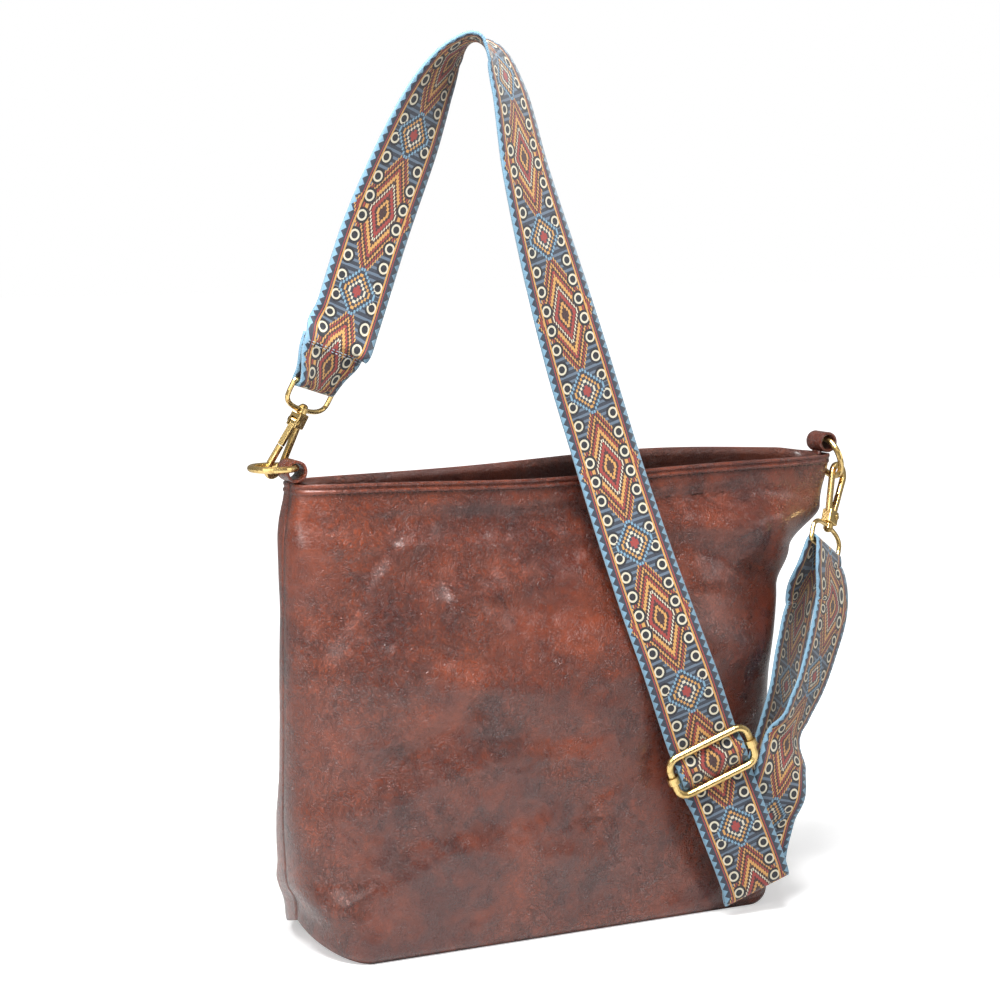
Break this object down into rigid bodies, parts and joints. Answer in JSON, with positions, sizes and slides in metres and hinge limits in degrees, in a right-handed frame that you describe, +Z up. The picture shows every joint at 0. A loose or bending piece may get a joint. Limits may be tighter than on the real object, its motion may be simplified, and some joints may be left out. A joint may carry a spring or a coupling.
{
  "type": "tote bag",
  "caption": "Slouchy brown leather tote bag with ring-and-snap-hook hardware and a long printed webbing shoulder strap with a slider.",
  "frame": {"origin": "on the floor under the middle of the bag's base", "axes": "+Z up, -Y towards the bag's front, +X towards the bag's right as seen from the front"},
  "size_m": [0.4105, 0.1385, 0.537],
  "materials": {
    "leather": "gloss",
    "facing": "satin",
    "brass": "satin",
    "pin": "satin",
    "webbing": "matte"
  },
  "bodies": {
    "bag": {"front_panel": "leather", "back_panel": "leather", "top_facing": "facing", "tab_left": "leather", "tab_right": "leather", "strap": "webbing", "slider_frame": "brass", "slider_bar": "brass"},
    "ring_left_body": {"ring_left": "brass"},
    "ring_right_body": {"ring_right": "brass"},
    "loop_left_body": {"strap_loop_left": "brass"},
    "loop_right_body": {"strap_loop_right": "brass"},
    "hook_left_body": {"hook_left": "brass", "swivel_post_left": "pin", "gate_rivet_left": "pin"},
    "hook_right_body": {"hook_right": "brass", "swivel_post_right": "pin", "gate_rivet_right": "pin"},
    "gate_left_body": {"gate_left": "brass"},
    "gate_right_body": {"gate_right": "brass"}
  },
  "joints": [
    {"name": "ring_swing_left", "type": "hinge", "parent": "bag", "child": "ring_left_body", "pos_m": [-0.163, -0.014, 0.2872], "axis": [0, 1, 0], "range_deg": [-1.2, 1.2]},
    {"name": "ring_swing_right", "type": "hinge", "parent": "bag", "child": "ring_right_body", "pos_m": [0.2035, -0.014, 0.2872], "axis": [0, 1, 0], "range_deg": [-1.2, 1.2]},
    {"name": "loop_tilt_left", "type": "hinge", "parent": "bag", "child": "loop_left_body", "pos_m": [-0.14791, -0.01256, 0.33585], "axis": [0.8063, 0.5393, -0.2429], "range_deg": [-0.6, 0.25]},
    {"name": "loop_tilt_right", "type": "hinge", "parent": "bag", "child": "loop_right_body", "pos_m": [0.19293, -0.03407, 0.21976], "axis": [0.7785, 0.4172, -0.4689], "range_deg": [-0.6, 0.25]},
    {"name": "hook_swivel_left", "type": "hinge", "parent": "loop_left_body", "child": "hook_left_body", "pos_m": [-0.15431, -0.00944, 0.32152], "axis": [0.4002, -0.1951, 0.8954], "range_deg": [-3.5, 3.5]},
    {"name": "hook_swivel_right", "type": "hinge", "parent": "loop_right_body", "child": "hook_right_body", "pos_m": [0.19902, -0.02959, 0.23386], "axis": [-0.3805, -0.2804, -0.8812], "range_deg": [-3.5, 3.5]},
    {"name": "gate_open_left", "type": "hinge", "parent": "hook_left_body", "child": "gate_left_body", "pos_m": [-0.15933, -0.00952, 0.31537], "axis": [-0.4883, 0.7814, 0.3885], "range_deg": [-16, 0], "stiffness_Nm_per_rad": 0.005, "springref_deg": 17.19},
    {"name": "gate_open_right", "type": "hinge", "parent": "hook_right_body", "child": "gate_right_body", "pos_m": [0.20403, -0.02667, 0.23928], "axis": [-0.4041, 0.9076, -0.1143], "range_deg": [-16, 0], "stiffness_Nm_per_rad": 0.005, "springref_deg": 17.19}
  ]
}
